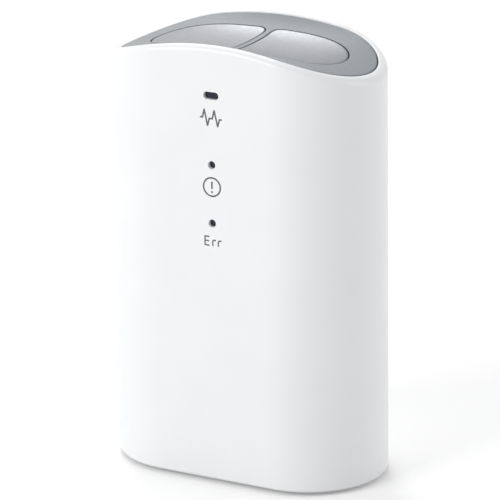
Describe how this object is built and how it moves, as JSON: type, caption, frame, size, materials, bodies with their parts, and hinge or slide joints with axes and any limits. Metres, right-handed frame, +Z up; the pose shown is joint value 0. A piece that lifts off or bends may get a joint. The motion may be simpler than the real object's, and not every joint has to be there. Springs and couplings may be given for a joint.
{
  "type": "heart rhythm home monitor",
  "caption": "Palm-sized upright heart rhythm recorder: white oval sleeve, grey saddle top with finger electrodes, chest electrode under its foot, battery door and start button behind.",
  "frame": {"origin": "middle of the chest electrode's flat face, which is the middle of the bounding box's underside", "axes": "+Z up along the body to the finger electrodes, -Y out of the front with the light windows, +X to the right of someone who faces the front"},
  "size_m": [0.065, 0.0362, 0.1016],
  "materials": {
    "white_plastic": "satin white moulding",
    "grey_plastic": "fine matte",
    "electrode_steel": "fine satin",
    "smoked_lens": "smoked, glossy",
    "black_plastic": "matte",
    "frame_plastic": "matte",
    "board_laminate": "solder mask",
    "ivory_plastic": "matte",
    "clear_lamp": "clear epoxy",
    "flex_film": "film",
    "gasket_rubber": "soft matte",
    "plated_steel": "bright plated",
    "battery_cell": "wrapped cell"
  },
  "bodies": {
    "monitor": {"body_shell": "white_plastic", "top_panel": "grey_plastic", "base_cover": "grey_plastic", "finger_electrode_left": "electrode_steel", "finger_electrode_right": "electrode_steel", "chest_electrode": "electrode_steel", "wave_lens": "smoked_lens", "notice_lens": "smoked_lens", "error_lens": "smoked_lens", "light_shield": "black_plastic", "inner_frame": "frame_plastic", "main_board": "board_laminate", "key_board": "board_laminate", "processor_chip": "black_plastic", "amplifier_chip": "black_plastic", "beeper": "black_plastic", "key_switch": "black_plastic", "flex_socket": "ivory_plastic", "wave_lamp": "clear_lamp", "notice_lamp": "clear_lamp", "error_lamp": "clear_lamp", "key_flex": "flex_film", "button_gasket": "gasket_rubber", "radio_module": "plated_steel", "finger_contact_left": "plated_steel", "finger_contact_right": "plated_steel", "chest_contact": "plated_steel", "battery_bridge": "plated_steel", "battery_plate_plus": "plated_steel", "battery_plate_minus": "plated_steel", "battery_spring_lower": "plated_steel", "battery_spring_upper": "plated_steel", "base_screw_left": "plated_steel", "base_screw_right": "plated_steel", "panel_screw_left": "plated_steel", "panel_screw_right": "plated_steel", "board_screw_low_left": "plated_steel", "board_screw_low_right": "plated_steel", "board_screw_high_left": "plated_steel", "board_screw_high_right": "plated_steel", "battery_left": "battery_cell", "battery_right": "battery_cell"},
    "door": {"battery_door": "white_plastic"},
    "start_key": {"start_button": "grey_plastic", "switch_plunger": "black_plastic"}
  },
  "joints": [
    {"name": "battery_door_tilt", "type": "hinge", "parent": "monitor", "child": "door", "pos_m": [0, 0.01808, 0.0096], "axis": [-1, 0, 0], "range_deg": [0, 40]},
    {"name": "start_button_press", "type": "slide", "parent": "monitor", "child": "start_key", "axis": [0, -1, 0], "range_m": [0, 0.0005], "stiffness_N_per_m": 1500, "springref_m": -0.0003}
  ]
}
